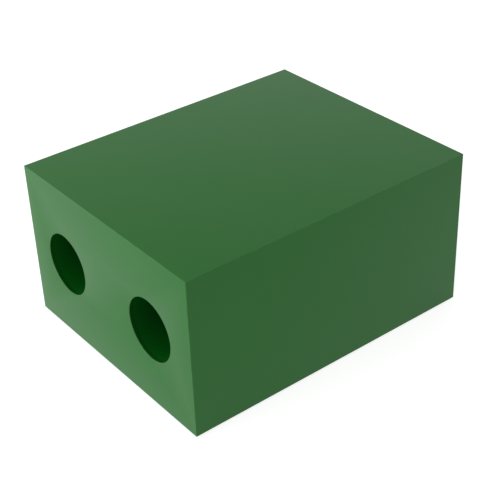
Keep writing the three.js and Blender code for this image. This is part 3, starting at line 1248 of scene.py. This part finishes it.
@dataclass
class Feet:
    """The four rubber feet, with the washer and the pan-head screw in each."""

    sizes: BlockSizes
    pocket_radius: float = 7.5 * MM
    pocket_depth: float = 6.2 * MM
    pocket_rounding: float = 0.4 * MM
    rim_rounding: float = 1.2 * MM
    groove_width: float = 0.9 * MM
    groove_depth: float = 0.6 * MM
    groove_rounding: float = 0.12 * MM
    groove_radii: tuple[float, ...] = (10.6 * MM, 13.2 * MM, 15.8 * MM)
    washer_rounding: float = 0.25 * MM
    segments: int = 96

    def build(self, workshop: Workshop) -> None:
        """Builds and dresses the foot, the washer and the screw at every corner.

        Args:
            workshop: What dresses them.
        """
        for corner in CORNERS:
            foot = Round.of(f"foot_{corner}")
            washer = Round.of(f"foot_washer_{corner}")
            turned = (("rubber_foot", "foot", self._foot_profile(foot), RUBBER),
                      ("plain_washer", "foot_washer", self._washer_profile(washer), STEEL))
            for name, node, profile, finish in turned:
                radii, heights = profile.T
                grid = turned_grid(radii, heights, foot.axis, Axis.UP_Z, self.segments)
                workshop.fit(wrapped_piece(f"{name}_{corner}", grid), f"{node}_{corner}", finish)
            screw = Screw.like(f"foot_screw_{corner}", Head.PAN).build(f"pan_head_{corner}")
            workshop.fit(screw, f"foot_screw_{corner}", STEEL)

    def _foot_profile(self, foot: Round) -> Array:
        """Draws a foot: a grooved sole round a pocket, a rounded rim, and a screw hole above.

        Args:
            foot: The foot's box.

        Returns:
            The closed profile.
        """
        sole, roof = foot.low.z, foot.high.z
        hole = SCREW_RADIUS + self.sizes.clearance
        half, soft = self.groove_width / 2, self.groove_rounding
        bottom = sole + self.groove_depth
        corners = [(self.pocket_radius, sole, self.pocket_rounding)]
        for at in self.groove_radii:
            corners += [(at - half, sole, soft), (at - half, bottom, soft),
                        (at + half, bottom, soft), (at + half, sole, soft)]
        corners += [(foot.radius, sole, self.rim_rounding),
                    (foot.radius, roof, self.pocket_rounding), (hole, roof, 0),
                    (hole, self.pocket_depth, 0), (self.pocket_radius, self.pocket_depth, 0)]
        return rounded_profile(corners, closed=True, steps=4)

    def _washer_profile(self, washer: Round) -> Array:
        """Draws a washer: a thin rectangle with its stamped edges rounded.

        Args:
            washer: The washer's box.

        Returns:
            The closed profile.
        """
        low, high, soft = washer.low.z, washer.high.z, self.washer_rounding
        hole = SCREW_RADIUS + self.sizes.clearance
        return rounded_profile([(hole, low, soft), (washer.radius, low, soft),
                                (washer.radius, high, soft), (hole, high, soft)],
                               closed=True, steps=3)


@dataclass
class InnerFrame:
    """The bulkheads, web, corner blocks and cleats, which keep their CAD shapes."""

    prefixes: tuple[str, ...] = ("front_bulkhead", "rear_bulkhead", "centre_web", "corner_block",
                                 "side_cleat", "end_cleat")

    def build(self, workshop: Workshop) -> None:
        """Dresses them.

        Args:
            workshop: What dresses them.
        """
        names = [name for name in sorted(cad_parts) if name.startswith(self.prefixes)]
        workshop.coat(names, BLACK_SHEET)


# ---------------------------------------------------------------------------------------------
# The studio
# ---------------------------------------------------------------------------------------------


@dataclass(frozen=True)
class Softbox:
    """A square white lamp that faces the block. Its power is in watts."""

    name: str
    place: tuple[float, float, float]
    size: float
    power: float

    def build(self, aim: Vector) -> None:
        """Hangs the lamp.

        Args:
            aim: The point that it faces.
        """
        data = bpy.data.lights.new(self.name, "AREA")
        data.shape = "SQUARE"
        data.size = self.size
        data.energy = self.power
        lamp = bpy.data.objects.new(self.name, data)
        lamp.location = self.place
        lamp.rotation_mode = "QUATERNION"
        lamp.rotation_quaternion = (aim - lamp.location).to_track_quat("-Z", "Y")
        bpy.context.scene.collection.objects.link(lamp)


@dataclass
class Studio:
    """A plain pale floor, soft light from all round with more from the front left, and the camera.

    The camera's heading and height are the way back from the block to it, in degrees: heading 0 is
    in front of the block, and 90 is on its right.
    """

    sizes: BlockSizes
    heading: float = 53.157
    height: float = 32.340
    roll: float = -2.507
    distance: float = 1.8194
    aim: tuple[float, float, float] = (-0.00099, -0.00999, -0.0082)
    lens: float = 89.92
    floor_half: float = 30.0
    floor_colour: float = 0.4
    floor_glow: float = 0.53
    floor_lift: float = 0.25
    sky: float = 0.74
    sky_lift: float = 0.26
    lamps: tuple[Softbox, ...] = (
        Softbox("left_softbox", (-2.5, -1.0, 1.05), 2.0, 22.0),
        Softbox("front_softbox", (-0.5, -2.6, 1.1), 2.0, 48.0),
    )

    def build(self) -> None:
        """Builds the camera, the floor and the lights."""
        self._camera()
        self._floor()
        self._sky()
        for lamp in self.lamps:
            lamp.build(Vector((0, 0, self.sizes.top / 2)))
        bpy.context.scene.view_settings.view_transform = "Standard"
        LOG.info("studio ready")

    def _camera(self) -> None:
        """Makes the scene's camera and turns it to the block."""
        s = self.sizes
        heading, height = math.radians(self.heading), math.radians(self.height)
        back = Vector((math.sin(heading) * math.cos(height),
                       -math.cos(heading) * math.cos(height), math.sin(height)))
        middle = Vector((0, 0, (s.top + s.wall_foot) / 2)) + Vector(self.aim)
        camera = bpy.data.objects.new("camera", bpy.data.cameras.new("camera"))
        camera.data.lens = self.lens
        camera.location = middle + back * self.distance
        camera.rotation_mode = "QUATERNION"
        level = (-back).to_track_quat("-Z", "Y")
        camera.rotation_quaternion = level @ Quaternion((0, 0, 1), math.radians(self.roll))
        bpy.context.scene.collection.objects.link(camera)
        bpy.context.scene.camera = camera

    def _floor(self) -> None:
        """Makes the floor: a wide white sheet that glows a little, as a light table does.

        The camera sees it a little brighter than the block does, so that it stays white.
        """
        half = self.floor_half
        mesh = bpy.data.meshes.new("studio_floor")
        corners = [(-half, -half, 0), (half, -half, 0), (half, half, 0), (-half, half, 0)]
        mesh.from_pydata(corners, [], [(0, 1, 2, 3)])
        floor = bpy.data.objects.new("studio_floor", mesh)
        bpy.context.scene.collection.objects.link(floor)
        material, wiring, surface = blank_material("studio_white")
        wiring.feed(surface, {
            "Base Color": (*[self.floor_colour] * 3, 1.0),
            "Roughness": 1.0,
            "Specular IOR Level": 0.0,
            "Emission Color": (1.0, 1.0, 1.0, 1.0),
            "Emission Strength": self._glow(wiring, self.floor_glow, self.floor_lift),
        })
        mesh.materials.append(material)

    def _sky(self) -> None:
        """Makes the even white light from all round, which the camera too sees brighter."""
        world = bpy.data.worlds.new("studio_white")
        world.use_nodes = True
        wiring = Wiring(world.node_tree)
        wiring.feed(world.node_tree.nodes["Background"], {
            "Color": (1.0, 1.0, 1.0, 1.0),
            "Strength": self._glow(wiring, self.sky, self.sky_lift),
        })
        bpy.context.scene.world = world

    @staticmethod
    def _glow(wiring: Wiring, level: float, lift: float) -> bpy.types.NodeSocket:
        """Works out how strongly something shines, with a lift where the camera looks at it.

        Args:
            wiring: Its node tree.
            level: The strength that the block sees.
            lift: What is added for the camera.

        Returns:
            The strength.
        """
        seen = wiring.node("LightPath").outputs["Is Camera Ray"]
        return wiring.math("MULTIPLY_ADD", seen, lift, level)


def main() -> None:
    """Builds the studio and then the block, piece by piece."""
    logging.basicConfig(level=logging.INFO, format="%(name)s: %(message)s")
    sizes = BlockSizes.from_frame()
    Studio(sizes).build()
    workshop = Workshop(sizes)
    assemblies = (MitredSheets(sizes), TunnelLinings(sizes), BasePlate(sizes), BaseScrews(),
                  Feet(sizes), InnerFrame())
    for assembly in assemblies:
        assembly.build(workshop)


if __name__ == "__main__":
    main()
